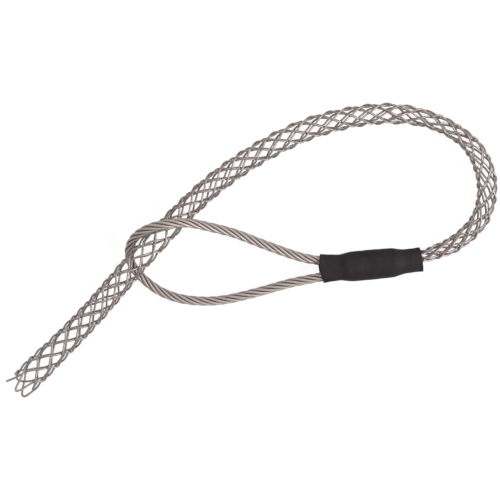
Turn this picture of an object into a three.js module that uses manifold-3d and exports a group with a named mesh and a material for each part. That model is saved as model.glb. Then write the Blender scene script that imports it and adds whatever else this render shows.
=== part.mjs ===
// Cable pulling grip, millimetres, +Z up, lying on the floor as photographed.
// Origin: on the floor, right under the middle of the black heat-shrink sleeve.
// +X runs to the right of the photo, +Y to its top.
import * as THREE from "three";
import { mergeVertices } from "three/addons/utils/BufferGeometryUtils.js";
import Module from "manifold-3d";

const wasm = await Module();
wasm.setup();

const SEAT = 0.3; // clear space between pieces that hold each other

// Mesh: five strands, each folded at the tail, so five helices run each way.
const STRAND_D = 1.1;
const STRANDS = 5;
const STRAND_SIDES = 5;
const CROSSING_GAP = 0.4; // between the middles of two strands' skins where they cross
const WEAVE = (STRAND_D + CROSSING_GAP) / 2; // how far a strand swings in and out of the mean wall
const FOLD_ROW = 2; // the fold of each strand lies two rows before row 0
const LAST_ROW = 74.5; // from here on the strands run straight to the ferrule
const LEAD_IN = 12; // route length before the nominal tail end
const BUNDLE_R = (STRAND_D + CROSSING_GAP) / (2 * Math.sin(Math.PI / (2 * STRANDS)));

// Pulling eye: one wire rope, both ends in the ferrule.
const ROPE_D = 5.5;
const ROPE_SIDES = 12;
const ROPE_STEPS = 84;

// Pressed ferrule, oval, hidden in the sleeve; lengths along the sleeve axis.
const FERRULE_LEFT = -14;
const FERRULE_RIGHT = 13;
const FERRULE_SIDES = 36;
const FERRULE_WALL = 1.05;
const FERRULE_HALF_HEIGHT = 5.2;
const WEB_LEFT = -1.5; // the solid web between the rope ends and the strand ends
const WEB_RIGHT = 2.5;
const BORE_SIDES = 20;
const BORE_WEB = 0.5; // metal between the two rope bores
const ROPE_BORE_R = ROPE_D / 2 + SEAT;
const ROPE_LATERAL = ROPE_BORE_R + BORE_WEB / 2;
const BUNDLE_BORE_R = BUNDLE_R + STRAND_D / 2 + SEAT;
const FERRULE_HALF_WIDTH = ROPE_LATERAL + ROPE_BORE_R + FERRULE_WALL;

// Heat-shrink sleeve. Each station: place along the axis, then how much wider and
// higher it is there than where it grips the ferrule.
const WALL = 0.9;
const SLEEVE_SIDES = 24;
const SLEEVE_HALF_WIDTH = FERRULE_HALF_WIDTH + 1.35 * SEAT + WALL;
const SLEEVE_HALF_HEIGHT = FERRULE_HALF_HEIGHT + 1.35 * SEAT + WALL;
const LEFT_OVERHANG = 16.3;
const RIGHT_OVERHANG = 17.3;
const SLEEVE_STATIONS = [
  [FERRULE_LEFT - LEFT_OVERHANG, 0.3, -1.3], [FERRULE_LEFT - 0.89 * LEFT_OVERHANG, -0.1, -1.5],
  [FERRULE_LEFT - 0.67 * LEFT_OVERHANG, -0.5, -1.6], [FERRULE_LEFT - 0.3 * LEFT_OVERHANG, -0.95, -1.2],
  [FERRULE_LEFT - 1, -0.05, -0.05], [FERRULE_LEFT + 3, 0.35, 0], [0, 0.4, 0],
  [FERRULE_RIGHT - 2, 0.2, 0], [FERRULE_RIGHT + 1, -0.05, -0.1],
  [FERRULE_RIGHT + 0.24 * RIGHT_OVERHANG, -0.95, -0.8],
  [FERRULE_RIGHT + 0.41 * RIGHT_OVERHANG, -1.4, -1.2], [FERRULE_RIGHT + 0.76 * RIGHT_OVERHANG, -1.45, -1.35],
  [FERRULE_RIGHT + 0.92 * RIGHT_OVERHANG, -1.35, -1.25], [FERRULE_RIGHT + RIGHT_OVERHANG, -1.15, -1.0],
];
const AXIS_Z = SLEEVE_HALF_HEIGHT; // the sleeve lies on the floor
const AXIS_TILT = THREE.MathUtils.degToRad(5.3);

// Middle line of the mesh from its tail to the sleeve, in plan. The third value is how far
// it rides up on the eye's rope: 0 lies on the floor, 1 clears the rope.
const MESH_ROUTE = [
  [-218.05, -80.75, 0], [-209.6, -72.2, 0], [-194.6, -57.3, 0], [-179.7, -42.5, 0.04],
  [-165.1, -27.2, 0.3], [-151.2, -11.4, 0.93], [-137.3, 4.6, 1.07], [-123.2, 20.3, 0.3],
  [-108.4, 35.5, 0.05], [-92.4, 49.6, 0], [-75.1, 61.8, 0], [-56.7, 72.4, 0], [-37.5, 81.1, 0],
  [-17.5, 86.8, 0], [3, 89.9, 0.01], [23.6, 89.1, 0.06], [44, 82.7, 0.12], [61.4, 69, 0.15],
  [69.1, 48.1, 0.05], [64.9, 27, 0.06], [50.7, 12.8, 0.12],
];
// The mesh inside the sleeve: place along the axis, how far it lies to the left of it.
const MESH_IN_SLEEVE = [
  [41, 4.2], [30, 1.7], [20, 0.15], [FERRULE_RIGHT, 0],
  [(FERRULE_RIGHT + WEB_RIGHT) / 2, 0], [WEB_RIGHT + SEAT, 0],
];

// Outside radius of the mesh by the length along it.
const MESH_RADIUS = [
  [-12, 8.7], [0, 8.7], [18, 8.55], [30, 8.1], [60, 7.8], [120, 7.4], [144, 7.15],
  [190, 7.1], [215, 7.25], [240, 7.1], [264, 6.75], [285, 6.65], [297, 6.0], [308, 5.6],
  [328, 5.35], [340, 6.0], [351, 6.4], [362, 6.55], [373, 6.25], [384, 6.05],
  [395, 5.7], [409, 5.35], [424, 4.3], [436, 4.05],
];

// Crossing rows of the mesh: row number, length along the mesh.
const ROW_MARKS = [
  [-2, -1.8], [0, 10.2], [5, 40.1], [14, 92.2], [22, 136.8], [35.3, 209.3], [40, 236.8],
  [47.6, 279], [54, 317.4], [62.3, 366], [70, 411], [75, 438.8],
];

// How far the whole mesh is twisted about its middle line, in degrees, by the length
// along it. It lies twisted where it passes over and under the eye.
const TWIST = [
  [0, 22], [40, 20], [124, 20], [152, 16], [181, 12], [210, 9], [237, 11], [279, 12],
  [307, -8], [337, -12], [424, -12],
];

// How far the top of the mesh is pushed along it, and its underside back, by the length
// along it, as it lies on the floor.
const LEAN = [
  [-12, 3.9], [12, 3.8], [40, 3.4], [68, 3], [110, 2.7], [138, 1.8], [167, 0.8], [195, 0],
  [279, 0], [307, 1.8], [424, 1.8], [438, 0],
];

// How far each fold stands out past the common tail line, and how far it flares.
// The first strand is cut there: one end stands out, the other stops short.
const FOLDS = [
  { name: "mesh_strand_2", at: 1, reach: 5.8, flare: 0 },
  { name: "mesh_strand_3", at: 2, reach: -3.5, flare: 0 },
  { name: "mesh_strand_4", at: 3, reach: 1.2, flare: 2.2 },
  { name: "mesh_strand_5", at: 4, reach: -4.2, flare: 0 },
];
// The two cut ends, tip first: length along the mesh, angle and radius in the wall.
const FREE_TIP = [[-5.1, -0.17, 7.9], [-1.85, 0.36, 7.0]];
const SHORT_TIP = [[1.6, -0.38, 7.0]];

// Route of the pulling eye in plan, over the mesh on its way out and under it on its way
// back. The third value: 0 lies on the floor, 1 clears the mesh below it.
const EYE_ROUTE = [
  [-42.4, 4.1, 0.25], [-62.5, 10.9, 0.34], [-82.6, 18.4, 0.48], [-96, 21.8, 0.63],
  [-109.4, 24.3, 0.84], [-122.8, 23.6, 1], [-134, 20.5, 0.85], [-142.6, 14.6, 0.44],
  [-145.6, 6.7, 0.11], [-143.7, -1.3, 0.02], [-138.2, -8.1, 0], [-128.2, -15.8, 0],
  [-116.1, -20.6, 0], [-101.3, -22.4, 0], [-88, -21.5, 0], [-69.2, -17.2, 0.05],
  [-49.1, -11.6, 0.13],
];
const MESH_HEIGHT_UNDER_EYE = 16.7;
// Inside the sleeve: place along the axis, how far each limb has moved out of its bore.
const EYE_IN_SLEEVE = [
  [WEB_LEFT - SEAT, 0], [(WEB_LEFT + FERRULE_LEFT) / 2, 0], [FERRULE_LEFT, 0],
  [FERRULE_LEFT - 0.3 * LEFT_OVERHANG, 0.15], [FERRULE_LEFT - 0.67 * LEFT_OVERHANG, 0.75],
  [FERRULE_LEFT - LEFT_OVERHANG, 1.5],
];

const steel = (roughness) =>
  new THREE.MeshStandardMaterial({ color: 0x9b948b, metalness: 0.85, roughness });
const shrink = new THREE.MeshStandardMaterial({ color: 0x1b1b1d, metalness: 0, roughness: 0.7 });

const group = new THREE.Group();
group.name = "cable_pulling_grip";

function add(name, geometry, material) {
  const mesh = new THREE.Mesh(geometry, material);
  mesh.name = name;
  group.add(mesh);
}

// Reads a table of [key, value] rows with straight lines between the rows, level beyond them.
function read(table, key) {
  let i = 1;
  while (i < table.length - 1 && key > table[i][0]) i += 1;
  const [a, b] = [table[i - 1], table[i]];
  const share = Math.min(Math.max((key - a[0]) / (b[0] - a[0]), 0), 1);
  return a[1] + (b[1] - a[1]) * share;
}

// A run of straight pieces that keeps its own corner points when it is swept.
class Corners extends THREE.Curve {
  constructor(points) {
    super();
    this.points = points;
  }

  getPoint(t, target = new THREE.Vector3()) {
    const last = this.points.length - 1;
    const at = Math.min(Math.max(t, 0), 1) * last;
    const i = Math.min(Math.floor(at), last - 1);
    return target.lerpVectors(this.points[i], this.points[i + 1], at - i);
  }

  getUtoTmapping(u) {
    return u;
  }
}

function round(radius, sides) {
  const points = [];
  for (let i = 0; i < sides; i += 1) {
    const a = (2 * Math.PI * i) / sides;
    points.push(new THREE.Vector2(radius * Math.cos(a), radius * Math.sin(a)));
  }
  return new THREE.Shape(points);
}

function sweep(path, steps, radius, sides) {
  return new THREE.ExtrudeGeometry(round(radius, sides), { steps, extrudePath: path });
}

// A place given along the sleeve axis and to its left.
function onAxis(along, left) {
  const [c, s] = [Math.cos(AXIS_TILT), Math.sin(AXIS_TILT)];
  return new THREE.Vector3(along * c - left * s, along * s + left * c, AXIS_Z);
}

// Plan points raised to their height; the length in plan is close enough for the radius.
function meshPoints() {
  let along = -LEAD_IN;
  const raised = MESH_ROUTE.map(([x, y, ride], i) => {
    if (i > 0) along += Math.hypot(x - MESH_ROUTE[i - 1][0], y - MESH_ROUTE[i - 1][1]);
    return new THREE.Vector3(x, y, read(MESH_RADIUS, along) + ride * (ROPE_D + SEAT));
  });
  return [...raised, ...MESH_IN_SLEEVE.map(([at, left]) => onAxis(at, left))];
}

const meshLine = new THREE.CatmullRomCurve3(meshPoints(), false, "centripetal");
meshLine.arcLengthDivisions = 3000;
const meshLength = meshLine.getLength();

// A point of the mesh wall: length along it, angle from its left-hand side, radius.
function wallPoint(along, angle, radius) {
  const turned = angle + THREE.MathUtils.degToRad(read(TWIST, along));
  const leaned = along + read(LEAN, along) * Math.sin(turned);
  const u = Math.min(Math.max((leaned + LEAD_IN) / meshLength, 0), 1);
  const centre = meshLine.getPointAt(u);
  const ahead = meshLine.getTangentAt(u);
  const side = new THREE.Vector3(-ahead.y, ahead.x, 0).normalize();
  const up = new THREE.Vector3().crossVectors(ahead, side);
  return centre
    .addScaledVector(side, radius * Math.cos(turned))
    .addScaledVector(up, radius * Math.sin(turned));
}

const meanRadius = (along) => read(MESH_RADIUS, along) - STRAND_D / 2 - WEAVE;

// Signed turn u counts rows from the fold: minus on one run, plus on the other.
function strandPoint(start, u, reach, flare) {
  const turn = Math.min(Math.abs(u), LAST_ROW + FOLD_ROW);
  const angle = (2 * Math.PI * start) / STRANDS + (Math.sign(u) * Math.PI * turn) / STRANDS;
  const nearFold = Math.max(0, 1 - turn);
  const row = Math.hypot(turn, 0.5) - 0.5 * nearFold - FOLD_ROW;
  const along = read(ROW_MARKS, row) - reach * nearFold;
  const swing = turn > 0.5 ? Math.sign(u) * WEAVE * Math.cos(Math.PI * turn) : 0;
  return wallPoint(along, angle, meanRadius(along) + swing + flare * nearFold);
}

// Beyond the last row the strands lie side by side and run into the ferrule.
function straightRun(start, sign) {
  const turns = start / STRANDS + (sign * (LAST_ROW + FOLD_ROW)) / (2 * STRANDS);
  const angle = 2 * Math.PI * turns;
  const from = read(ROW_MARKS, LAST_ROW);
  const to = meshLength - LEAD_IN;
  const points = [];
  for (const part of [0.2, 0.4, 0.6, 0.8, 1]) {
    const along = from + (to - from) * part;
    const slim = Math.max(0, 1 - (part * (to - from)) / (to - from - (FERRULE_RIGHT - WEB_RIGHT)));
    const radius = BUNDLE_R + (meanRadius(from) - BUNDLE_R) * slim;
    points.push(wallPoint(along, angle, radius));
  }
  return points;
}

function runPoints(start, sign, reach, flare) {
  const points = [];
  for (let row = 1; row <= LAST_ROW + FOLD_ROW; row += 1) {
    points.push(strandPoint(start, sign * row, reach, flare));
  }
  points.push(strandPoint(start, sign * (LAST_ROW + FOLD_ROW), reach, flare));
  return points.concat(straightRun(start, sign));
}

for (const { name, at, reach, flare } of FOLDS) {
  const fold = [-0.6, -0.3, 0, 0.3, 0.6].map((u) => strandPoint(at, u, reach, flare));
  const [back, forth] = [-1, 1].map((sign) => runPoints(at, sign, reach, flare));
  const points = [...back.reverse(), ...fold, ...forth];
  const path = new Corners(points);
  add(name, sweep(path, points.length - 1, STRAND_D / 2, STRAND_SIDES), steel(0.42));
}

// The cut strand: a free end that stands out at the tail, and a short end inside it.
function cutEnd(name, tip, sign) {
  const points = [...tip.map((place) => wallPoint(...place)), ...runPoints(0, sign, 0, 0)];
  add(name, sweep(new Corners(points), points.length - 1, STRAND_D / 2, STRAND_SIDES), steel(0.42));
}
cutEnd("mesh_strand_1_free_end", FREE_TIP, 1);
cutEnd("mesh_strand_1_short_end", SHORT_TIP, -1);

const limb = (side) => EYE_IN_SLEEVE.map(([along, out]) => onAxis(along, side * (ROPE_LATERAL + out)));
const eyeLine = new THREE.CatmullRomCurve3(
  [...limb(1), ...EYE_ROUTE.map(([x, y, ride]) =>
    new THREE.Vector3(x, y, ROPE_D / 2 + 0.05 + ride * MESH_HEIGHT_UNDER_EYE)), ...limb(-1).reverse()],
  false, "centripetal");
eyeLine.arcLengthDivisions = 2000;
add("eye_rope", sweep(eyeLine, ROPE_STEPS, ROPE_D / 2, ROPE_SIDES), steel(0.36));

// Turns a body built along +Z so that it lies along the sleeve axis.
function layDown(geometry) {
  geometry.applyMatrix4(new THREE.Matrix4().makeBasis(
    new THREE.Vector3(-Math.sin(AXIS_TILT), Math.cos(AXIS_TILT), 0),
    new THREE.Vector3(0, 0, 1),
    new THREE.Vector3(Math.cos(AXIS_TILT), Math.sin(AXIS_TILT), 0)));
  geometry.translate(0, 0, AXIS_Z);
  return geometry;
}

function toSolid(geometry) {
  geometry.deleteAttribute("normal");
  geometry.deleteAttribute("uv");
  const merged = mergeVertices(geometry, 1e-4);
  return new wasm.Manifold(new wasm.Mesh({
    numProp: 3,
    vertProperties: new Float32Array(merged.attributes.position.array),
    triVerts: new Uint32Array(merged.index.array),
  }));
}

function fromSolid(solid) {
  const { vertProperties, triVerts } = solid.getMesh();
  const geometry = new THREE.BufferGeometry();
  geometry.setAttribute("position", new THREE.BufferAttribute(vertProperties, 3));
  geometry.setIndex(new THREE.BufferAttribute(triVerts, 1));
  return geometry;
}

// An upright oval bar, given by where it starts and ends.
function bar(halfWidth, halfHeight, sides, from, to, shift = 0) {
  const curve = new THREE.EllipseCurve(shift, 0, halfWidth, halfHeight, 0, 2 * Math.PI);
  const shape = new THREE.Shape(curve.getPoints(sides).slice(0, sides));
  const geometry = new THREE.ExtrudeGeometry(shape, { depth: to - from, bevelEnabled: false });
  return geometry.translate(0, 0, from);
}

// An oval pressed body: two blind bores for the rope ends, one for the strand bundle.
function ferruleGeometry() {
  const bore = (radius, shift, from, to) => toSolid(bar(radius, radius, BORE_SIDES, from, to, shift));
  return fromSolid(toSolid(
    bar(FERRULE_HALF_WIDTH, FERRULE_HALF_HEIGHT, FERRULE_SIDES, FERRULE_LEFT, FERRULE_RIGHT))
    .subtract(bore(ROPE_BORE_R, ROPE_LATERAL, FERRULE_LEFT - 1, WEB_LEFT))
    .subtract(bore(ROPE_BORE_R, -ROPE_LATERAL, FERRULE_LEFT - 1, WEB_LEFT))
    .subtract(bore(BUNDLE_BORE_R, 0, WEB_RIGHT, FERRULE_RIGHT + 1)));
}

add("ferrule", layDown(ferruleGeometry()),
  new THREE.MeshStandardMaterial({ color: 0xa3a5a8, metalness: 0.9, roughness: 0.45 }));

// The sleeve: an oval loft, open at both ends, with a flat strip underneath.
function sleeveGeometry() {
  const flat = Math.cos(Math.PI / SLEEVE_SIDES);
  const rings = [];
  const ring = ([along, wider, higher], inset) => {
    const halfWidth = SLEEVE_HALF_WIDTH + wider;
    const halfHeight = SLEEVE_HALF_HEIGHT + higher;
    const points = [];
    for (let i = 0; i < SLEEVE_SIDES; i += 1) {
      const a = (2 * Math.PI * (i + 0.5)) / SLEEVE_SIDES;
      points.push([((halfWidth - inset) * Math.cos(a)) / flat,
        ((halfHeight - inset) * Math.sin(a)) / flat, along]);
    }
    rings.push(points);
  };
  SLEEVE_STATIONS.forEach((station) => ring(station, 0));
  [...SLEEVE_STATIONS].reverse().forEach((station) => ring(station, WALL));
  const index = [];
  rings.forEach((_, r) => {
    const next = (r + 1) % rings.length;
    for (let i = 0; i < SLEEVE_SIDES; i += 1) {
      const j = (i + 1) % SLEEVE_SIDES;
      const [a, b] = [r * SLEEVE_SIDES + i, r * SLEEVE_SIDES + j];
      const [c, d] = [next * SLEEVE_SIDES + j, next * SLEEVE_SIDES + i];
      index.push(a, b, c, a, c, d);
    }
  });
  const geometry = new THREE.BufferGeometry();
  geometry.setAttribute("position", new THREE.Float32BufferAttribute(rings.flat(2), 3));
  geometry.setIndex(index);
  return geometry;
}

add("heat_shrink_sleeve", layDown(sleeveGeometry()), shrink);

export default group;
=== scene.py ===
"""Cable pulling grip: a woven wire mesh, a black heat-shrink sleeve and a wire rope eye.

The grip lies in a loop on a pale floor and is seen from straight above. Everything
is in metres in the row's frame; the routes below are given in millimetres.
"""

import logging
import math
from dataclasses import dataclass, field
from enum import Enum

import bpy
import numpy as np
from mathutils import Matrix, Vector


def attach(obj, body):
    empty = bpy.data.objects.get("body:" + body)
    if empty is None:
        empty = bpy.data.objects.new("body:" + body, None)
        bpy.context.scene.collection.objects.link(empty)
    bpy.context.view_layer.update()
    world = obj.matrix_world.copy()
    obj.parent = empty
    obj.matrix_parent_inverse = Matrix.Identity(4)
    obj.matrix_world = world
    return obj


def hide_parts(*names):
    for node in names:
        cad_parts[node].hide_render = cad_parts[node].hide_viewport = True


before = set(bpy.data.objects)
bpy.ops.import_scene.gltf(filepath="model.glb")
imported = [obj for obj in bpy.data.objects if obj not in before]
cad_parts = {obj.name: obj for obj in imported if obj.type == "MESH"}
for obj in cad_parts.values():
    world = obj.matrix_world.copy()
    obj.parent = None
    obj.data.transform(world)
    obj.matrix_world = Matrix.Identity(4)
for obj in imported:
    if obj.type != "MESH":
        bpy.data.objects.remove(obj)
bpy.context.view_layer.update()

logging.basicConfig(level=logging.INFO, format="%(message)s")
LOG = logging.getLogger("cable_grip")

Colour = tuple[float, float, float, float]
Range = tuple[float, float]
Table = tuple[Range, ...]
Spot = tuple[float, float, float]
Socket = bpy.types.NodeSocket

MM = 0.001
# The dressed strands are thicker than the solids and reach a little below them
FLOOR_Z = -0.0004
# Point attributes of laid wire: how near its skin is to a crown, which also sets how much painted
# shade its colour gets, and its rope's middle line
CREST = "crest"
HEART = "heart"
# Between these heights on a rope's strand, in its radii, its colour turns from painted shade in
# the groove to the crown's own colour
GROOVE_LEVEL = 0.30
CROWN_LEVEL = 0.85


class Lay(Enum):
    """Which way wires or strands turn as they run away from the viewer."""

    RIGHT = 1
    STRAIGHT = 0


class View(Enum):
    """The photograph's frame, in photograph pixels and millimetres."""

    SIZE_PX = 500
    MM_PER_PX = 0.6


# Routes and sizes of the solids, in millimetres


# Clear space between pieces that hold each other
SEAT = 0.3
STRANDS = 5
STRAND_D = 1.1
CROSSING_GAP = 0.4
# How far a strand swings in and out of the mesh's mean wall
WEAVE = (STRAND_D + CROSSING_GAP) / 2
# Each strand's fold lies this many rows before row 0
FOLD_ROW = 2
# From this row on the strands run straight to the ferrule
LAST_ROW = 74.5
# Length of the mesh's route before the tail's nominal end
LEAD_IN = 12.0
BUNDLE_R = (STRAND_D + CROSSING_GAP) / (2 * math.sin(math.pi / (2 * STRANDS)))
ROPE_D = 5.5
FERRULE_LEFT = -14.0
FERRULE_RIGHT = 13.0
FERRULE_WALL = 1.05
FERRULE_HALF_HEIGHT = 5.2
# The ferrule's solid web between the rope's ends and the strands' ends
WEB_LEFT = -1.5
WEB_RIGHT = 2.5
BORE_WEB = 0.5
ROPE_BORE_R = ROPE_D / 2 + SEAT
ROPE_LATERAL = ROPE_BORE_R + BORE_WEB / 2
WALL = 0.9
# From the ferrule's skin to the sleeve's
SLEEVE_FIT = 1.35 * SEAT + WALL
SLEEVE_HALF_WIDTH = ROPE_LATERAL + ROPE_BORE_R + FERRULE_WALL + SLEEVE_FIT
SLEEVE_HALF_HEIGHT = FERRULE_HALF_HEIGHT + SLEEVE_FIT
LEFT_OVERHANG = 16.3
RIGHT_OVERHANG = 17.3
AXIS_TILT = math.radians(5.3)
MESH_HEIGHT_UNDER_EYE = 16.7

# x, y and the share of the ride over the eye's rope
MESH_ROUTE = (
    (-218.05, -80.75, 0), (-209.6, -72.2, 0), (-194.6, -57.3, 0), (-179.7, -42.5, 0.04),
    (-165.1, -27.2, 0.3), (-151.2, -11.4, 0.93), (-137.3, 4.6, 1.07), (-123.2, 20.3, 0.3),
    (-108.4, 35.5, 0.05), (-92.4, 49.6, 0), (-75.1, 61.8, 0), (-56.7, 72.4, 0),
    (-37.5, 81.1, 0), (-17.5, 86.8, 0), (3, 89.9, 0.01), (23.6, 89.1, 0.06),
    (44, 82.7, 0.12), (61.4, 69, 0.15), (69.1, 48.1, 0.05), (64.9, 27, 0.06),
    (50.7, 12.8, 0.12),
)
# Distance along the sleeve's axis and to its left
MESH_IN_SLEEVE = (
    (41, 4.2), (30, 1.7), (20, 0.15), (FERRULE_RIGHT, 0),
    ((FERRULE_RIGHT + WEB_RIGHT) / 2, 0), (WEB_RIGHT + SEAT, 0),
)
# By length along the mesh: its radius, its turn and its lean from top to underside
MESH_RADIUS: Table = (
    (-12, 8.7), (0, 8.7), (18, 8.55), (30, 8.1), (60, 7.8), (120, 7.4), (144, 7.15),
    (190, 7.1), (215, 7.25), (240, 7.1), (264, 6.75), (285, 6.65), (297, 6.0), (308, 5.6),
    (328, 5.35), (340, 6.0), (351, 6.4), (362, 6.55), (373, 6.25), (384, 6.05),
    (395, 5.7), (409, 5.35), (424, 4.3), (436, 4.05),
)
TWIST: Table = (
    (0, 22), (40, 20), (124, 20), (152, 16), (181, 12), (210, 9), (237, 11), (279, 12),
    (307, -8), (337, -12), (424, -12),
)
LEAN: Table = (
    (-12, 3.9), (12, 3.8), (40, 3.4), (68, 3), (110, 2.7), (138, 1.8), (167, 0.8),
    (195, 0), (279, 0), (307, 1.8), (424, 1.8), (438, 0),
)
# Length along the mesh at each row of crossings
ROW_MARKS: Table = (
    (-2, -1.8), (0, 10.2), (5, 40.1), (14, 92.2), (22, 136.8), (35.3, 209.3), (40, 236.8),
    (47.6, 279), (54, 317.4), (62.3, 366), (70, 411), (75, 438.8),
)
# x, y and the share of the ride over the mesh
EYE_ROUTE = (
    (-42.4, 4.1, 0.25), (-62.5, 10.9, 0.34), (-82.6, 18.4, 0.48), (-96, 21.8, 0.63),
    (-109.4, 24.3, 0.84), (-122.8, 23.6, 1), (-134, 20.5, 0.85), (-142.6, 14.6, 0.44),
    (-145.6, 6.7, 0.11), (-143.7, -1.3, 0.02), (-138.2, -8.1, 0), (-128.2, -15.8, 0),
    (-116.1, -20.6, 0), (-101.3, -22.4, 0), (-88, -21.5, 0), (-69.2, -17.2, 0.05),
    (-49.1, -11.6, 0.13),
)
# Distance along the sleeve's axis and outwards from the bore
EYE_IN_SLEEVE = (
    (WEB_LEFT - SEAT, 0), ((WEB_LEFT + FERRULE_LEFT) / 2, 0), (FERRULE_LEFT, 0),
    (FERRULE_LEFT - 0.3 * LEFT_OVERHANG, 0.15), (FERRULE_LEFT - 0.67 * LEFT_OVERHANG, 0.75),
    (FERRULE_LEFT - LEFT_OVERHANG, 1.5),
)
# Place along the axis, and what is added to the half width and the half height
SLEEVE_STATIONS = (
    (FERRULE_LEFT - LEFT_OVERHANG, 0.3, -1.3),
    (FERRULE_LEFT - 0.89 * LEFT_OVERHANG, -0.1, -1.5),
    (FERRULE_LEFT - 0.67 * LEFT_OVERHANG, -0.5, -1.6),
    (FERRULE_LEFT - 0.3 * LEFT_OVERHANG, -0.95, -1.2),
    (FERRULE_LEFT - 1, -0.05, -0.05), (FERRULE_LEFT + 3, 0.35, 0), (0, 0.4, 0),
    (FERRULE_RIGHT - 2, 0.2, 0), (FERRULE_RIGHT + 1, -0.05, -0.1),
    (FERRULE_RIGHT + 0.24 * RIGHT_OVERHANG, -0.95, -0.8),
    (FERRULE_RIGHT + 0.41 * RIGHT_OVERHANG, -1.4, -1.2),
    (FERRULE_RIGHT + 0.76 * RIGHT_OVERHANG, -1.45, -1.35),
    (FERRULE_RIGHT + 0.92 * RIGHT_OVERHANG, -1.35, -1.25),
    (FERRULE_RIGHT + RIGHT_OVERHANG, -1.15, -1.0),
)


def read(table: Table, key: float | np.ndarray) -> float | np.ndarray:
    """Reads a table with straight lines between its rows.

    Args:
        table: Rows of key and value, keys rising.
        key: Where to read, one number or many.

    Returns:
        The value or values there.
    """
    keys, values = zip(*table)
    return np.interp(key, keys, values)


def on_axis(along: float, left: float) -> np.ndarray:
    """Places a point by the sleeve's axis.

    Args:
        along: Distance along the axis from the sleeve's middle.
        left: Distance to its left.

    Returns:
        The point, in millimetres.
    """
    c, s = math.cos(AXIS_TILT), math.sin(AXIS_TILT)
    return np.array((along * c - left * s, along * s + left * c, SLEEVE_HALF_HEIGHT))


class Route:
    """A smooth curve through points, read by the length along it."""

    # Half of the stretch that a direction is taken over, in millimetres
    LOOK = 0.4

    def __init__(self, points: list[np.ndarray], per_span: int = 60) -> None:
        """Samples a smooth centripetal curve through the points.

        Args:
            points: The points that the curve goes through.
            per_span: Samples between two points.
        """
        p = np.array(points, dtype=float)
        p = np.vstack((2 * p[0] - p[1], p, 2 * p[-1] - p[-2]))
        samples = []
        t = np.linspace(0, 1, per_span, endpoint=False)[:, None]
        for a, b, c, d in zip(p, p[1:], p[2:], p[3:]):
            d0, d1, d2 = (math.sqrt(np.linalg.norm(v)) for v in (b - a, c - b, d - c))
            m1 = d1 * ((b - a) / d0 - (c - a) / (d0 + d1) + (c - b) / d1)
            m2 = d1 * ((c - b) / d1 - (d - b) / (d1 + d2) + (d - c) / d2)
            samples.append(
                (2 * t**3 - 3 * t**2 + 1) * b + (t**3 - 2 * t**2 + t) * m1
                + (3 * t**2 - 2 * t**3) * c + (t**3 - t**2) * m2)
        samples.append(p[-2][None, :])
        self.xyz = np.vstack(samples)
        steps = np.linalg.norm(np.diff(self.xyz, axis=0), axis=1)
        self.at = np.concatenate(((0.0,), np.cumsum(steps)))
        self.length = float(self.at[-1])

    def point(self, along: np.ndarray) -> np.ndarray:
        """Gives the curve's points.

        Args:
            along: Lengths along the curve.

        Returns:
            The points.
        """
        return np.stack([np.interp(along, self.at, self.xyz[:, k]) for k in range(3)], 1)

    def ahead(self, along: np.ndarray) -> np.ndarray:
        """Gives the curve's directions, taken over a short stretch either way.

        Args:
            along: Lengths along the curve.

        Returns:
            The unit directions.
        """
        d = self.point(along + self.LOOK) - self.point(along - self.LOOK)
        return d / np.linalg.norm(d, axis=1, keepdims=True)


def smooth_line(points: np.ndarray, passes: int) -> np.ndarray:
    """Softens the corners of a line and keeps its ends.

    Args:
        points: The line's points, evenly spread.
        passes: How often each point moves towards its neighbours' middle.

    Returns:
        The softened line.
    """
    line = points.copy()
    for _ in range(passes):
        line[1:-1] = 0.5 * line[1:-1] + 0.25 * (line[:-2] + line[2:])
    return line


# Finishes


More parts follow.
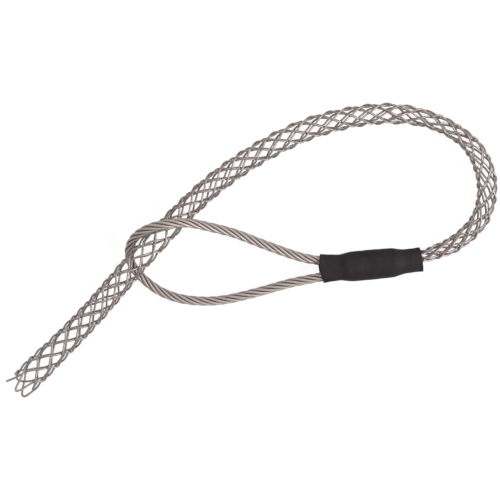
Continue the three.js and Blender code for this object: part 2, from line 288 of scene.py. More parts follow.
class Nodes:
    """A small helper that makes and links nodes in one tree."""

    def __init__(self, tree: bpy.types.NodeTree) -> None:
        """Remembers the tree.

        Args:
            tree: The tree that the nodes go into.
        """
        self.tree = tree

    def add(self, kind: str, **settings: object) -> bpy.types.Node:
        """Adds a node.

        Args:
            kind: The node's type name.
            **settings: Its properties.

        Returns:
            The node.
        """
        node = self.tree.nodes.new(kind)
        for name, value in settings.items():
            setattr(node, name, value)
        return node

    def link(self, out: Socket, into: Socket) -> None:
        """Links two sockets.

        Args:
            out: The socket that gives.
            into: The socket that takes.
        """
        self.tree.links.new(out, into)

    def give(self, into: Socket, value: object) -> None:
        """Links a socket to an input, or sets the input to a plain value.

        Args:
            into: The input.
            value: A socket, a number or a colour.
        """
        if isinstance(value, Socket):
            self.link(value, into)
        else:
            into.default_value = value

    def math(self, operation: str, a: object, b: object = 0.0) -> Socket:
        """Adds a Math node.

        Args:
            operation: What it works out.
            a: A socket or a number.
            b: A socket or a number.

        Returns:
            Its output.
        """
        node = self.add("ShaderNodeMath", operation=operation)
        for socket, value in zip(node.inputs, (a, b)):
            self.give(socket, value)
        return node.outputs[0]

    def vector(self, operation: str, a: Socket, b: Socket) -> bpy.types.Node:
        """Adds a Vector Math node with two vectors.

        Args:
            operation: What it works out.
            a: The first vector.
            b: The second.

        Returns:
            The node.
        """
        node = self.add("ShaderNodeVectorMath", operation=operation)
        self.link(a, node.inputs[0])
        self.link(b, node.inputs[1])
        return node

    def scaled(self, vector: Socket, by: Socket) -> Socket:
        """Scales a vector.

        Args:
            vector: The vector.
            by: The factor.

        Returns:
            The scaled vector.
        """
        node = self.add("ShaderNodeVectorMath", operation="SCALE")
        self.link(vector, node.inputs[0])
        self.link(by, node.inputs["Scale"])
        return node.outputs[0]

    def noise(self, place: Socket, scale: float, detail: float) -> Socket:
        """Adds a noise field.

        Args:
            place: Where it is read.
            scale: How fine it is.
            detail: How many finer layers it has.

        Returns:
            Its value.
        """
        node = self.add("ShaderNodeTexNoise")
        node.inputs["Scale"].default_value = scale
        node.inputs["Detail"].default_value = detail
        self.link(place, node.inputs["Vector"])
        return node.outputs[0]

    def ranged(self, value: Socket, start: Range, to: Range = (0.0, 1.0)) -> Socket:
        """Maps a value from one range to another and holds it there.

        Args:
            value: The value.
            start: The range that it comes in.
            to: The range that it is given out in.

        Returns:
            The mapped value.
        """
        node = self.add("ShaderNodeMapRange")
        for name, number in zip(("From Min", "From Max", "To Min", "To Max"), (*start, *to)):
            node.inputs[name].default_value = number
        self.link(value, node.inputs["Value"])
        return node.outputs[0]

    def mixed(self, a: object, b: object, factor: Socket) -> Socket:
        """Mixes two colours.

        Args:
            a: The colour at factor 0, as a socket or a plain colour.
            b: The colour at factor 1.
            factor: The share of the second.

        Returns:
            The mixed colour.
        """
        node = self.add("ShaderNodeMix", data_type="RGBA")
        self.give(node.inputs["A"], a)
        self.give(node.inputs["B"], b)
        self.link(factor, node.inputs["Factor"])
        return node.outputs["Result"]

    def bumped(self, height: Socket, strength: float, depth: float) -> Socket:
        """Turns a height field into a rough surface's normal.

        Args:
            height: The height field.
            strength: How strongly it shows.
            depth: How deep it is, in metres.

        Returns:
            The normal.
        """
        node = self.add("ShaderNodeBump")
        node.inputs["Strength"].default_value = strength
        node.inputs["Distance"].default_value = depth
        self.link(height, node.inputs["Height"])
        return node.outputs[0]


def blank_material(name: str) -> tuple[bpy.types.Material, Nodes, bpy.types.Node]:
    """Makes a material with a Principled shader and nothing else.

    Args:
        name: The material's name.

    Returns:
        The material, its node helper and the shader.
    """
    material = bpy.data.materials.new(name)
    material.use_nodes = True
    material.node_tree.nodes.clear()
    nodes = Nodes(material.node_tree)
    shader = nodes.add("ShaderNodeBsdfPrincipled")
    out = nodes.add("ShaderNodeOutputMaterial")
    nodes.link(shader.outputs[0], out.inputs["Surface"])
    return material, nodes, shader


@dataclass(frozen=True)
class SteelWire:
    """Drawn steel wire: warm grey with stained patches, in its own colour on the crowns and
    darkened with painted shade in the grooves.
    """

    name: str
    crown: Colour = (0.322, 0.275, 0.26, 1)
    painted_groove_shade: Colour = (0.109, 0.085, 0.079, 1)
    stain: Colour = (0.234, 0.19, 0.175, 1)
    metallic: float = 0.85
    roughness: float = 0.44
    rough_spread: float = 0.14
    patch_scale: float = 260.0
    patch_detail: float = 3
    patch_edges: Range = (0.42, 0.72)
    scratch_scale: float = 2600.0
    scratch_detail: float = 4
    bump: float = 0.12
    bump_depth: float = 0.00005

    def material(self) -> bpy.types.Material:
        """Builds the node material.

        Returns:
            The material.
        """
        material, n, shader = blank_material(self.name)
        place = n.add("ShaderNodeTexCoord").outputs["Object"]
        crest = n.add("ShaderNodeAttribute", attribute_name=CREST).outputs["Fac"]
        patches = n.noise(place, self.patch_scale, self.patch_detail)
        fine = n.noise(place, self.scratch_scale, self.scratch_detail)
        worn = n.mixed(self.crown, self.stain, n.ranged(patches, self.patch_edges))
        # Painted shade: the colour runs from the crown's towards the painted groove shade where
        # the skin lies in a groove
        n.link(n.mixed(self.painted_groove_shade, worn, crest), shader.inputs["Base Color"])
        rough = (self.roughness, self.roughness + self.rough_spread)
        n.link(n.ranged(fine, (0.0, 1.0), rough), shader.inputs["Roughness"])
        shader.inputs["Metallic"].default_value = self.metallic
        n.link(n.bumped(fine, self.bump, self.bump_depth), shader.inputs["Normal"])
        return material


@dataclass(frozen=True)
class HeatShrink:
    """Matte black shrink tubing with a faint grain and dull wear marks."""

    name: str
    colour: Colour = (0.0078, 0.0053, 0.0059, 1)
    dusty: Colour = (0.0168, 0.0123, 0.0132, 1)
    roughness: float = 0.62
    smoother: float = 0.08
    rougher: float = 0.16
    specular: float = 0.2
    grain_scale: float = 1500.0
    grain_detail: float = 3
    cloud_scale: float = 120.0
    cloud_detail: float = 4
    dust_edges: Range = (0.36, 0.64)
    bump: float = 0.35
    bump_depth: float = 0.00004

    def material(self) -> bpy.types.Material:
        """Builds the node material.

        Returns:
            The material.
        """
        material, n, shader = blank_material(self.name)
        place = n.add("ShaderNodeTexCoord").outputs["Object"]
        grain = n.noise(place, self.grain_scale, self.grain_detail)
        cloud = n.noise(place, self.cloud_scale, self.cloud_detail)
        colour = n.mixed(self.colour, self.dusty, n.ranged(cloud, self.dust_edges))
        n.link(colour, shader.inputs["Base Color"])
        rough = (self.roughness - self.smoother, self.roughness + self.rougher)
        n.link(n.ranged(cloud, (0.0, 1.0), rough), shader.inputs["Roughness"])
        shader.inputs["Specular IOR Level"].default_value = self.specular
        n.link(n.bumped(grain, self.bump, self.bump_depth), shader.inputs["Normal"])
        return material


@dataclass(frozen=True)
class PressedMetal:
    """The ferrule's pressed aluminium, dull, with press marks."""

    name: str
    light: Colour = (0.60, 0.60, 0.61, 1)
    dark: Colour = (0.40, 0.40, 0.41, 1)
    metallic: float = 0.95
    roughness: float = 0.45
    mark_scale: float = 420.0
    mark_detail: float = 2
    bump: float = 0.2
    bump_depth: float = 0.0001

    def material(self) -> bpy.types.Material:
        """Builds the node material.

        Returns:
            The material.
        """
        material, n, shader = blank_material(self.name)
        place = n.add("ShaderNodeTexCoord").outputs["Object"]
        marks = n.noise(place, self.mark_scale, self.mark_detail)
        n.link(n.mixed(self.dark, self.light, marks), shader.inputs["Base Color"])
        shader.inputs["Metallic"].default_value = self.metallic
        shader.inputs["Roughness"].default_value = self.roughness
        n.link(n.bumped(marks, self.bump, self.bump_depth), shader.inputs["Normal"])
        return material


# Laid wire: one tree makes the mesh's strands and the rope's


@dataclass(frozen=True)
class LaidWire:
    """How wires lie in a strand and strands lie in a rope, in metres.

    The lays are the lengths of one whole turn. The depth is that of the grooves between
    wires, in strand radii, and the painted shade is how strongly those grooves are darkened with
    painted shade.
    """

    strand_radius: float
    wire_depth: float
    wire_painted_shade: float
    strands: int = 1
    helix_radius: float = 0.0
    rope_lay: float = 1.0
    rope_turn: Lay = Lay.STRAIGHT
    wires: int = 6
    wire_lay: float = 0.009
    wire_turn: Lay = Lay.RIGHT
    points_per_wire: int = 3
    step: float = 0.0005


class LaidWireTree:
    """The Geometry Nodes tree that lays wires along a line."""

    INPUTS = (
        ("Strands", "NodeSocketInt"), ("Strand radius", "NodeSocketFloat"),
        ("Helix radius", "NodeSocketFloat"), ("Rope twist", "NodeSocketFloat"),
        ("Wires", "NodeSocketInt"), ("Wire twist", "NodeSocketFloat"),
        ("Wire depth", "NodeSocketFloat"), ("Wire painted shade", "NodeSocketFloat"),
        ("Profile points", "NodeSocketInt"),
        ("Step", "NodeSocketFloat"), ("Steel", "NodeSocketMaterial"),
    )

    def __init__(self) -> None:
        """Builds the tree."""
        self.tree = bpy.data.node_groups.new("laid_wire", "GeometryNodeTree")
        face = self.tree.interface
        face.new_socket("Geometry", in_out="INPUT", socket_type="NodeSocketGeometry")
        self.keys = {
            name: face.new_socket(name, in_out="INPUT", socket_type=kind).identifier
            for name, kind in self.INPUTS}
        face.new_socket("Geometry", in_out="OUTPUT", socket_type="NodeSocketGeometry")
        n = Nodes(self.tree)
        given = n.add("NodeGroupInput").outputs
        swept = self.sweep(n, given, self.strands(n, given))
        soft = n.add("GeometryNodeSetShadeSmooth")
        n.link(self.shade_between_strands(n, given, swept), soft.inputs["Geometry"])
        real = n.add("GeometryNodeRealizeInstances")
        n.link(soft.outputs[0], real.inputs[0])
        dressed = n.add("GeometryNodeSetMaterial")
        n.link(real.outputs[0], dressed.inputs["Geometry"])
        n.link(given["Steel"], dressed.inputs["Material"])
        n.link(dressed.outputs[0], n.add("NodeGroupOutput").inputs[0])

    def strands(self, n: Nodes, given: bpy.types.NodeOutputs) -> Socket:
        """Copies the line once for each strand and winds the copies round it.

        Args:
            n: The tree's node helper.
            given: The group's inputs.

        Returns:
            The strands' courses.
        """
        line = n.add("GeometryNodeMeshToCurve")
        n.link(given["Geometry"], line.inputs["Mesh"])
        even = n.add("GeometryNodeResampleCurve", mode="LENGTH")
        n.link(line.outputs[0], even.inputs["Curve"])
        n.link(given["Step"], even.inputs["Length"])
        copies = n.add("GeometryNodeDuplicateElements", domain="SPLINE")
        n.link(even.outputs[0], copies.inputs["Geometry"])
        n.link(given["Strands"], copies.inputs["Amount"])
        run = n.add("GeometryNodeSplineParameter").outputs["Length"]
        share = n.math("DIVIDE", copies.outputs["Duplicate Index"], given["Strands"])
        start = n.math("MULTIPLY", share, 2 * math.pi)
        turn = n.math("MULTIPLY_ADD", run, given["Rope twist"])
        n.link(start, turn.node.inputs[2])
        middle = n.add("GeometryNodeInputPosition").outputs[0]
        marked = self.store(n, copies.outputs["Geometry"], HEART, middle, "FLOAT_VECTOR")
        placed = n.add("GeometryNodeSetPosition")
        n.link(marked, placed.inputs["Geometry"])
        n.link(self.helix(n, turn, given["Helix radius"]), placed.inputs["Offset"])
        return placed.outputs[0]

    def sweep(self, n: Nodes, given: bpy.types.NodeOutputs, courses: Socket) -> Socket:
        """Draws the section along the strands and turns it with their wires.

        Args:
            n: The tree's node helper.
            given: The group's inputs.
            courses: The strands' courses.

        Returns:
            The strands as a mesh.
        """
        run = n.add("GeometryNodeSplineParameter").outputs["Length"]
        tilt = n.add("GeometryNodeSetCurveTilt")
        n.link(courses, tilt.inputs["Curve"])
        n.link(n.math("MULTIPLY", run, given["Wire twist"]), tilt.inputs["Tilt"])
        swept = n.add("GeometryNodeCurveToMesh")
        swept.inputs["Fill Caps"].default_value = True
        n.link(tilt.outputs[0], swept.inputs["Curve"])
        n.link(self.profile(n, given), swept.inputs["Profile Curve"])
        return swept.outputs[0]

    @staticmethod
    def store(n: Nodes, geometry: Socket, name: str, value: Socket, kind: str) -> Socket:
        """Stores a value on the points.

        Args:
            n: The tree's node helper.
            geometry: What carries it.
            name: The attribute's name.
            value: The value.
            kind: The attribute's data type.

        Returns:
            The geometry with the attribute.
        """
        node = n.add("GeometryNodeStoreNamedAttribute", data_type=kind, domain="POINT")
        node.inputs["Name"].default_value = name
        n.link(geometry, node.inputs["Geometry"])
        n.link(value, node.inputs["Value"])
        return node.outputs[0]

    @staticmethod
    def stored(n: Nodes, name: str, kind: str) -> Socket:
        """Reads a value that was stored on the points.

        Args:
            n: The tree's node helper.
            name: The attribute's name.
            kind: The attribute's data type.

        Returns:
            The value.
        """
        node = n.add("GeometryNodeInputNamedAttribute", data_type=kind)
        node.inputs["Name"].default_value = name
        return node.outputs[0]

    @staticmethod
    def helix(n: Nodes, turn: Socket, radius: Socket) -> Socket:
        """Gives the offset that winds a line round its own course.

        Args:
            n: The tree's node helper.
            turn: The angle at each point.
            radius: How far from the course the strand lies.

        Returns:
            The offset vector.
        """
        normal = n.add("GeometryNodeInputNormal").outputs["Normal"]
        tangent = n.add("GeometryNodeInputTangent").outputs[0]
        across = n.vector("CROSS_PRODUCT", tangent, normal).outputs[0]
        c = n.math("MULTIPLY", n.math("COSINE", turn), radius)
        s = n.math("MULTIPLY", n.math("SINE", turn), radius)
        return n.vector("ADD", n.scaled(normal, c), n.scaled(across, s)).outputs[0]

    def shade_between_strands(
            self, n: Nodes, given: bpy.types.NodeOutputs, swept: Socket) -> Socket:
        """Paints shade into the crest mark: lowers it deep between a rope's strands and in the
        grooves between wires.

        Args:
            n: The tree's node helper.
            given: The group's inputs.
            swept: The strands as a mesh.

        Returns:
            The mesh with its new crest mark.
        """
        # Painted shade: the crest mark is lowered where the skin lies deep between strands and in
        # the grooves between wires
        heart = self.stored(n, HEART, "FLOAT_VECTOR")
        wire = self.stored(n, CREST, "FLOAT")
        here = n.add("GeometryNodeInputPosition").outputs[0]
        outer = n.add("ShaderNodeMapRange", interpolation_type="SMOOTHSTEP")
        n.link(n.vector("DISTANCE", here, heart).outputs["Value"], outer.inputs["Value"])
        for name, level in (("From Min", GROOVE_LEVEL), ("From Max", CROWN_LEVEL)):
            height = n.math("MULTIPLY_ADD", given["Strand radius"], level)
            n.link(given["Helix radius"], height.node.inputs[2])
            n.link(height, outer.inputs[name])
        wire_groove_shade = n.math("MULTIPLY", n.math("SUBTRACT", 1.0, wire), given["Wire painted shade"])
        crest = n.math("MULTIPLY", n.math("SUBTRACT", 1.0, wire_groove_shade), outer.outputs[0])
        bare = n.add("GeometryNodeRemoveAttribute")
        bare.inputs["Name"].default_value = HEART
        n.link(self.store(n, swept, CREST, crest, "FLOAT"), bare.inputs[0])
        return bare.outputs[0]

    def profile(self, n: Nodes, given: bpy.types.NodeOutputs) -> Socket:
        """Makes the section: as many round lobes as a strand has outer wires.

        Args:
            n: The tree's node helper.
            given: The group's inputs.

        Returns:
            The section curve.
        """
        ring = n.add("GeometryNodeCurvePrimitiveCircle", mode="RADIUS")
        n.link(given["Profile points"], ring.inputs["Resolution"])
        n.link(given["Strand radius"], ring.inputs["Radius"])
        factor = n.add("GeometryNodeSplineParameter").outputs["Factor"]
        phase = n.math("MULTIPLY", n.math("MULTIPLY", factor, given["Wires"]), math.pi)
        crest = n.math("ABSOLUTE", n.math("COSINE", phase))
        # The crest mark shapes the lobes and later sets the painted shade in the grooves between
        # wires
        marked = self.store(n, ring.outputs[0], CREST, crest, "FLOAT")
        depth = n.math("MULTIPLY", n.math("SUBTRACT", 1.0, crest), given["Wire depth"])
        shrink = n.math("MULTIPLY", depth, -1.0)
        place = n.add("GeometryNodeInputPosition").outputs[0]
        lobes = n.add("GeometryNodeSetPosition")
        n.link(marked, lobes.inputs["Geometry"])
        n.link(n.scaled(place, shrink), lobes.inputs["Offset"])
        return lobes.outputs[0]

    def lay(self, name: str, line: np.ndarray, wire: LaidWire,
            steel: bpy.types.Material) -> bpy.types.Object:
        """Lays wires along a line and gives the result as a plain mesh.

        Args:
            name: The piece's name.
            line: The course, in metres.
            wire: How the wires lie.
            steel: Their material.

        Returns:
            The finished piece.
        """
        course = bpy.data.meshes.new(name + "_course")
        edges = [(i, i + 1) for i in range(len(line) - 1)]
        course.from_pydata([tuple(p) for p in line], edges, [])
        carrier = bpy.data.objects.new(name + "_course", course)
        bpy.context.scene.collection.objects.link(carrier)
        modifier = carrier.modifiers.new("laid_wire", "NODES")
        modifier.node_group = self.tree
        values = {
            "Strands": wire.strands, "Strand radius": wire.strand_radius,
            "Helix radius": wire.helix_radius,
            "Rope twist": 2 * math.pi * wire.rope_turn.value / wire.rope_lay,
            "Wires": wire.wires,
            "Wire twist": 2 * math.pi * wire.wire_turn.value / wire.wire_lay,
            "Wire depth": wire.wire_depth, "Wire painted shade": wire.wire_painted_shade,
            "Profile points": wire.wires * wire.points_per_wire,
            "Step": wire.step, "Steel": steel,
        }
        for key, value in values.items():
            modifier[self.keys[key]] = value
        bpy.context.view_layer.update()
        evaluated = carrier.evaluated_get(bpy.context.evaluated_depsgraph_get())
        mesh = bpy.data.meshes.new_from_object(evaluated)
        mesh.name = name
        bpy.data.objects.remove(carrier)
        return piece_from(name, mesh)


def piece_from(name: str, mesh: bpy.types.Mesh) -> bpy.types.Object:
    """Links a mesh to the scene as a piece at the origin.

    Args:
        name: The piece's name.
        mesh: Its mesh.

    Returns:
        The object.
    """
    piece = bpy.data.objects.new(name, mesh)
    bpy.context.scene.collection.objects.link(piece)
    return piece


def hand_over(piece: bpy.types.Object, slot: str, *nodes: str) -> None:
    """Rides a piece on the grip and lets it stand for its solids.

    Args:
        piece: The finished piece.
        slot: Not used.
        *nodes: The solids it stands for.
    """
    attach(piece, "root")
    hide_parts(*nodes)
    LOG.info("%s: %d faces", piece.name, len(piece.data.polygons))


# Sub-assemblies


@dataclass
class WovenMesh:
    """The tube of five folded strands, each going over and under the others."""

    strand_d: float = 1.25
    # Each folded strand's name, its start, how far its fold stands out and how far it opens
    folds: tuple[tuple[str, int, float, float], ...] = (
        ("mesh_strand_2", 1, 5.8, 0.0), ("mesh_strand_3", 2, -3.5, 0.0),
        ("mesh_strand_4", 3, 1.2, 2.2), ("mesh_strand_5", 4, -4.2, 0.0))
    # The cut strand's two tips: length along the mesh, angle and distance from its middle
    free_tip: tuple[Spot, ...] = (
        (-5.1, -0.17, 7.9), (-3.6, 0.08, 7.4), (-1.85, 0.36, 7.0), (1.5, 0.5, 6.8))
    short_tip: tuple[Spot, ...] = ((1.6, -0.38, 7.0), (3.2, -0.5, 7.6))
    # In rows: how round a fold is, and how far from it the swing in and out begins
    fold_round: float = 0.5
    swing_from: float = 0.5
    points_per_row: int = 8
    points_to_ferrule: int = 60
    softening: int = 3
    wire_depth: float = 0.06
    # How strongly the grooves between wires are darkened with painted shade
    wire_painted_shade: float = 0.5
    finish: SteelWire = field(default_factory=lambda: SteelWire("mesh_steel"))

    def __post_init__(self) -> None:
        """Lays out the middle line of the tube."""
        along = -LEAD_IN
        points = []
        for i, (x, y, ride) in enumerate(MESH_ROUTE):
            if i:
                along += math.hypot(x - MESH_ROUTE[i - 1][0], y - MESH_ROUTE[i - 1][1])
            height = read(MESH_RADIUS, along) + ride * (ROPE_D + SEAT)
            points.append(np.array((x, y, height)))
        points += [on_axis(at, left) for at, left in MESH_IN_SLEEVE]
        self.route = Route(points)

    def wall(self, along: np.ndarray, angle: np.ndarray, radius: np.ndarray) -> np.ndarray:
        """Gives points of the tube's wall.

        Args:
            along: Lengths along the mesh.
            angle: Angles from its left-hand side.
            radius: Distances from its middle.

        Returns:
            The points, in millimetres.
        """
        angle = angle + np.radians(read(TWIST, along))
        leaned = along + read(LEAN, along) * np.sin(angle)
        at = np.clip(leaned + LEAD_IN, 0, self.route.length)
        ahead = self.route.ahead(at)
        side = np.stack((-ahead[:, 1], ahead[:, 0], np.zeros(len(at))), 1)
        side /= np.linalg.norm(side, axis=1, keepdims=True)
        up = np.cross(ahead, side)
        c, s = (radius * np.cos(angle))[:, None], (radius * np.sin(angle))[:, None]
        return self.route.point(at) + side * c + up * s

    def run(self, start: int, rows: np.ndarray, reach: float, flare: float) -> np.ndarray:
        """Follows a strand by its rows.

        Args:
            start: Which of the strands it is.
            rows: Signed rows from the fold, one sign for each run.
            reach: How far the fold stands out.
            flare: How far the fold opens.

        Returns:
            The strand's points, in millimetres.
        """
        turn = np.abs(rows)
        angle = 2 * math.pi * start / STRANDS + math.pi * rows / STRANDS
        near = np.where(turn < 1, (1 - turn**2) ** 2, 0)
        row = np.hypot(turn, self.fold_round) - self.fold_round * near - FOLD_ROW
        along = read(ROW_MARKS, row) - reach * near
        mean = read(MESH_RADIUS, along) - STRAND_D / 2 - WEAVE
        swing = np.sign(rows) * WEAVE * np.cos(math.pi * turn)
        swing = np.where(turn > self.swing_from, swing, 0)
        return self.wall(along, angle, mean + swing + flare * near)

    def into_ferrule(self, start: int, sign: int) -> np.ndarray:
        """Runs a strand from the last row straight into its bore.

        Args:
            start: Which of the strands it is.
            sign: Which of its two runs.

        Returns:
            The points, in millimetres.
        """
        first = read(ROW_MARKS, LAST_ROW)
        last = self.route.length - LEAD_IN
        along = np.linspace(first, last, self.points_to_ferrule)[1:]
        rows = sign * (LAST_ROW + FOLD_ROW)
        angle = 2 * math.pi * start / STRANDS + math.pi * rows / STRANDS
        mean = read(MESH_RADIUS, first) - STRAND_D / 2 - WEAVE
        grip = last - (FERRULE_RIGHT - WEB_RIGHT)
        slim = np.clip(1 - (along - first) / (grip - first), 0, 1)
        slim = slim * slim * (3 - 2 * slim)
        radius = BUNDLE_R + (mean - BUNDLE_R) * slim
        return self.wall(along, np.full(len(along), angle), radius)

    def one_run(self, start: int, sign: int, first_row: float,
                reach: float = 0.0, flare: float = 0.0) -> np.ndarray:
        """Gives one whole run of a strand, from near its fold to the ferrule.

        Args:
            start: Which of the strands it is.
            sign: Which of its two runs.
            first_row: Where the run starts.
            reach: How far the fold stands out.
            flare: How far the fold opens.

        Returns:
            The points, in millimetres.
        """
        count = int((LAST_ROW + FOLD_ROW - first_row) * self.points_per_row) + 1
        rows = sign * np.linspace(first_row, LAST_ROW + FOLD_ROW, count)
        return np.vstack((self.run(start, rows, reach, flare), self.into_ferrule(start, sign)))

    def lines(self) -> dict[str, np.ndarray]:
        """Gives the course of every strand.

        Returns:
            The points in millimetres, by the name of the strand's solid.
        """
        found = {}
        for name, start, reach, flare in self.folds:
            back = self.one_run(start, -1, 1 / self.points_per_row, reach, flare)[::-1]
            forth = self.one_run(start, 1, 0.0, reach, flare)
            found[name] = np.vstack((back, forth))
        tip = self.wall(*np.array(self.free_tip).T)
        found["mesh_strand_1_free_end"] = np.vstack((tip, self.one_run(0, 1, 1.0)))
        stub = self.wall(*np.array(self.short_tip).T)
        found["mesh_strand_1_short_end"] = np.vstack((stub, self.one_run(0, -1, 1.0)))
        return found

    def build(self, tree: LaidWireTree) -> None:
        """Makes every strand and hands it over.

        Args:
            tree: The tree that lays wires along a line.
        """
        steel = self.finish.material()
        wire = LaidWire(
            strand_radius=self.strand_d / 2 * MM, wire_depth=self.wire_depth,
            wire_painted_shade=self.wire_painted_shade)
        for name, line in self.lines().items():
            line = smooth_line(line, self.softening) * MM
            piece = tree.lay(name.replace("mesh_strand", "woven_strand"), line, wire, steel)
            hand_over(piece, "mesh_steel", name)


@dataclass
class RopeEye:
    """The pulling eye: one right-hand laid rope of six strands, bent back into the ferrule."""

    rope_d: float = ROPE_D
    lay: float = 36.0
    # A strand's radius in the rope's, and how far the strands stand out of the rope's round
    strand_share: float = 0.325
    proud: float = 0.06
    # Air under the rope where it rests on the floor
    rest_gap: float = 0.05
    points: int = 500
    # Its groove colour is painted shade, deep between the strands and between the wires
    finish: SteelWire = field(default_factory=lambda: SteelWire(
        "rope_steel", crown=(0.39, 0.338, 0.318, 1), painted_groove_shade=(0.175, 0.142, 0.13, 1),
        stain=(0.35, 0.297, 0.278, 1), roughness=0.50, patch_scale=200.0))

    def route(self) -> Route:
        """Gives the rope's course from one bore round to the other.

        Returns:
            The course, in millimetres.
        """
        low = self.rope_d / 2 + self.rest_gap
        loop = [
            np.array((x, y, low + ride * MESH_HEIGHT_UNDER_EYE)) for x, y, ride in EYE_ROUTE]
        return Route([*self.limb(1), *loop, *reversed(self.limb(-1))])

    @staticmethod
    def limb(side: int) -> list[np.ndarray]:
        """Gives the course of one limb inside the sleeve.

        Args:
            side: 1 for the limb on the axis's left, -1 for the one on its right.

        Returns:
            Its points, from the bore outwards.
        """
        return [on_axis(at, side * (ROPE_LATERAL + out)) for at, out in EYE_IN_SLEEVE]

    def build(self, tree: LaidWireTree) -> None:
        """Lays the rope and hands it over.

        Args:
            tree: The tree that lays wires along a line.
        """
        route = self.route()
        line = route.point(np.linspace(0, route.length, self.points)) * MM
        strand_r = self.rope_d / 2 * self.strand_share
        # The grooves between wires are darkened with painted shade
        wire = LaidWire(
            strands=6, strand_radius=strand_r * MM,
            helix_radius=(self.rope_d / 2 - strand_r + self.proud) * MM,
            rope_lay=self.lay * MM, rope_turn=Lay.RIGHT, wires=9, wire_lay=0.04,
            wire_depth=0.018, wire_painted_shade=0.14, step=0.00095)
        piece = tree.lay("laid_rope_eye", line, wire, self.finish.material())
        hand_over(piece, "rope_steel", "eye_rope")


@dataclass
class ShrunkSleeve:
    """The heat-shrink tube: tight on the ferrule, slack and lipped at its cut ends."""

    sides: int = 96
    rows: int = 150
    wall: float = 0.75
    # How far each rounded lip lies inside the skin, and how far past the cut
    lip: float = 0.28
    lip_step: float = 0.02
    # How uneven the two cuts are, and how far in from them it shows
    left_bulge: float = 1.7
    left_slant: float = 0.8
    right_slant: float = 1.1
    cut_reach: float = 7.0
    # The sleeve's slight bow to its right, which fades out towards both cuts
    sag: float = 0.36
    sag_end: float = 28.0
    sag_fade: float = 11.0
    # The skin's faint ripple: its depth, waves round, turn and pitch along, and base radius
    ripple_depth: float = 0.05
    ripple_waves: int = 3
    ripple_turn: float = 0.35
    ripple_pitch: float = 0.9
    ripple_radius: float = 8.0
    # How far along the axis the stations' corners are rounded
    ease_reach: float = 1.6
    ease_samples: int = 9
    finish: HeatShrink = field(default_factory=lambda: HeatShrink("heat_shrink"))

    def section(self, at: np.ndarray, inset: float) -> np.ndarray:
        """Gives rings of points round the axis.

        Args:
            at: Places along the axis.
            inset: How far inside the outer skin.

        Returns:
            An array of rings by points by three, in millimetres.
        """
        keys, wider, higher = np.array(SLEEVE_STATIONS).T
        wide = SLEEVE_HALF_WIDTH + self.eased(at, keys, wider)
        high = SLEEVE_HALF_HEIGHT + self.eased(at, keys, higher)
        angle = np.linspace(0, 2 * math.pi, self.sides, endpoint=False)
        across = (wide - inset)[:, None] * np.cos(angle)
        up = (high - inset)[:, None] * np.sin(angle)
        waves = np.sin(self.ripple_waves * angle + self.ripple_turn * at[:, None])
        waves = waves * np.sin(self.ripple_pitch * at[:, None] + angle)
        ripple = 1 + self.ripple_depth * (waves - 1) / self.ripple_radius
        across, up = across * ripple, up * ripple
        across -= self.sag * np.clip((self.sag_end - np.abs(at)) / self.sag_fade, 0, 1)[:, None]
        along = at[:, None] + self.cut(at[:, None], across / SLEEVE_HALF_WIDTH)
        c, s = math.cos(AXIS_TILT), math.sin(AXIS_TILT)
        x = along * c - across * s
        y = along * s + across * c
        return np.stack((x, y, up + SLEEVE_HALF_HEIGHT), 2)

    def cut(self, at: np.ndarray, share: np.ndarray) -> np.ndarray:
        """Gives how far the uneven cuts move the sleeve's ends along the axis.

        Args:
            at: Places along the axis.
            share: Places across it, from -1 to 1.

        Returns:
            The shifts, in millimetres.
        """
        left, right = SLEEVE_STATIONS[0][0], SLEEVE_STATIONS[-1][0]
        near_left = np.clip(1 - (at - left) / self.cut_reach, 0, 1)
        near_right = np.clip(1 - (right - at) / self.cut_reach, 0, 1)
        bulge = self.left_bulge * np.clip(1 - share**2, 0, 1)
        slant = self.left_slant * (1 - share) / 2
        return near_left * (slant - bulge) - near_right * self.right_slant * (share + 1) / 2

    def eased(self, at: np.ndarray, keys: np.ndarray, values: np.ndarray) -> np.ndarray:
        """Reads a table and rounds its corners.

        Args:
            at: Where to read.
            keys: The table's places.
            values: Its values.

        Returns:
            The softened values.
        """
        spread = np.linspace(-self.ease_reach, self.ease_reach, self.ease_samples)
        near = np.clip(at[:, None] + spread[None, :], keys[0], keys[-1])
        return np.interp(near, keys, values).mean(axis=1)

    def build(self) -> None:
        """Lofts the wall inside and out and hands it over."""
        left, right = SLEEVE_STATIONS[0][0], SLEEVE_STATIONS[-1][0]
        at = np.linspace(left, right, self.rows)
        skin = self.section(at, 0.0)
        lining = self.section(at[::-1], self.wall)
        lip_right = self.section(np.array((right + self.lip_step,)), self.lip)
        lip_left = self.section(np.array((left - self.lip_step,)), self.lip)
        rings = np.concatenate((skin, lip_right, lining, lip_left))
        points = rings.reshape(-1, 3) * MM
        count = len(rings)
        faces = []
        for r in range(count):
            nxt = (r + 1) % count
            for i in range(self.sides):
                j = (i + 1) % self.sides
                faces.append((r * self.sides + i, r * self.sides + j,
                              nxt * self.sides + j, nxt * self.sides + i))
        mesh = bpy.data.meshes.new("shrunk_sleeve")
        mesh.from_pydata(points.tolist(), [], faces)
        mesh.polygons.foreach_set("use_smooth", [True] * len(faces))
        mesh.materials.append(self.finish.material())
        hand_over(piece_from("shrunk_sleeve", mesh), "heat_shrink", "heat_shrink_sleeve")


@dataclass
class PressedFerrule:
    """The ferrule inside the sleeve, which keeps its solid and gets its metal."""

    finish: PressedMetal = field(default_factory=lambda: PressedMetal("ferrule_metal"))

    def dress(self) -> None:
        """Gives the solid its material."""
        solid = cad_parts["ferrule"]
        solid.data.materials.clear()
        solid.data.materials.append(self.finish.material())
        LOG.info("ferrule: dressed")


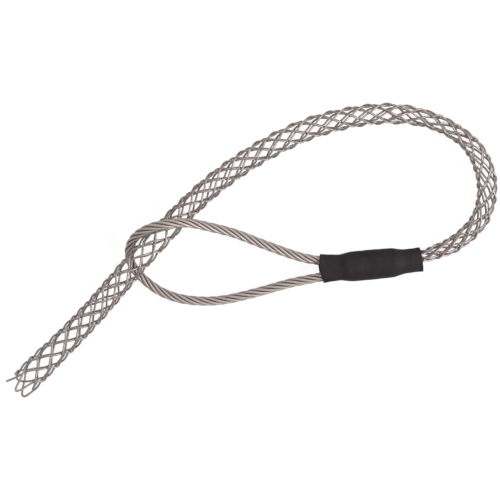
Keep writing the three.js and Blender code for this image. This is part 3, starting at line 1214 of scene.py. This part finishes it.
@dataclass
class Studio:
    """The floor, the lights and the camera straight above."""

    centre: tuple[float, float] = (-0.073, 0.0084)
    lens: float = 85.0
    sensor: float = 36.0
    floor_size: float = 5.0
    floor_tone: float = 0.82
    # What the camera and the metal see of the floor: this share of it is plain white
    white_share: float = 0.9
    floor_glow: float = 1.04
    # How strongly the white surroundings light the part
    world_level: float = 0.58
    # The height at which the photograph's scale holds
    scale_height: float = 0.006
    clip: Range = (0.01, 20.0)
    # Each lamp's name, place, size and watts
    lamps: tuple[tuple[str, Spot, float, float], ...] = (
        ("key", (0.82, -0.10, 0.62), 0.5, 14.0), ("fill", (-0.30, 0.50, 0.90), 0.7, 2.5))

    def camera(self) -> None:
        """Sets the camera above the middle of the photograph's frame."""
        width = View.SIZE_PX.value * View.MM_PER_PX.value * MM
        height = width / 2 / (self.sensor / 2 / self.lens)
        data = bpy.data.cameras.new("camera")
        data.lens, data.sensor_width = self.lens, self.sensor
        data.clip_start, data.clip_end = self.clip
        camera = bpy.data.objects.new("camera", data)
        camera.location = (*self.centre, height + self.scale_height)
        bpy.context.scene.collection.objects.link(camera)
        bpy.context.scene.camera = camera

    @staticmethod
    def looked_at(n: Nodes) -> Socket:
        """Tells rays that are seen, directly or in metal, from rays that only light things.

        Args:
            n: The tree's node helper.

        Returns:
            1 for a seen ray, else 0.
        """
        path = n.add("ShaderNodeLightPath")
        glossy, through = path.outputs["Is Glossy Ray"], path.outputs["Is Transmission Ray"]
        return n.math("MAXIMUM", path.outputs["Is Camera Ray"], n.math("MAXIMUM", glossy, through))

    def floor(self) -> None:
        """Lays the pale floor."""
        half = self.floor_size / 2
        mesh = bpy.data.meshes.new("floor")
        corners = ((-half, -half), (half, -half), (half, half), (-half, half))
        mesh.from_pydata([(x, y, FLOOR_Z) for x, y in corners], [], [(0, 1, 2, 3)])
        material = bpy.data.materials.new("floor")
        material.use_nodes = True
        material.node_tree.nodes.clear()
        n = Nodes(material.node_tree)
        matte = n.add("ShaderNodeBsdfDiffuse")
        matte.inputs["Color"].default_value = (self.floor_tone,) * 3 + (1,)
        white = n.add("ShaderNodeEmission")
        white.inputs["Strength"].default_value = self.floor_glow
        seen = n.add("ShaderNodeMixShader")
        seen.inputs[0].default_value = self.white_share
        n.link(matte.outputs[0], seen.inputs[1])
        n.link(white.outputs[0], seen.inputs[2])
        both = n.add("ShaderNodeMixShader")
        n.link(self.looked_at(n), both.inputs[0])
        n.link(matte.outputs[0], both.inputs[1])
        n.link(seen.outputs[0], both.inputs[2])
        out = n.add("ShaderNodeOutputMaterial")
        n.link(both.outputs[0], out.inputs["Surface"])
        mesh.materials.append(material)
        piece_from("floor", mesh)

    def world(self) -> None:
        """Makes the white surroundings."""
        world = bpy.data.worlds.new("studio")
        bpy.context.scene.world = world
        world.use_nodes = True
        world.node_tree.nodes.clear()
        n = Nodes(world.node_tree)
        soft = n.add("ShaderNodeBackground")
        soft.inputs["Strength"].default_value = self.world_level
        white = n.add("ShaderNodeBackground")
        white.inputs["Color"].default_value = (1, 1, 1, 1)
        mix = n.add("ShaderNodeMixShader")
        n.link(self.looked_at(n), mix.inputs[0])
        n.link(soft.outputs[0], mix.inputs[1])
        n.link(white.outputs[0], mix.inputs[2])
        out = n.add("ShaderNodeOutputWorld")
        n.link(mix.outputs[0], out.inputs["Surface"])

    def lights(self) -> None:
        """Hangs the soft lamps."""
        for name, place, size, watts in self.lamps:
            data = bpy.data.lights.new(name, "AREA")
            data.energy, data.size = watts, size
            lamp = bpy.data.objects.new(name, data)
            aim = np.array((*self.centre, 0.0)) - np.array(place)
            lamp.location = place
            lamp.rotation_euler = Vector(aim.tolist()).to_track_quat("-Z", "Y").to_euler()
            bpy.context.scene.collection.objects.link(lamp)

    def build(self) -> None:
        """Sets up the whole studio."""
        self.camera()
        self.floor()
        self.world()
        self.lights()
        bpy.context.scene.view_settings.view_transform = "Standard"


def main() -> None:
    """Builds the grip in order: studio, mesh, eye, ferrule and sleeve."""
    Studio().build()
    tree = LaidWireTree()
    WovenMesh().build(tree)
    RopeEye().build(tree)
    PressedFerrule().dress()
    ShrunkSleeve().build()


if __name__ == "__main__":
    main()
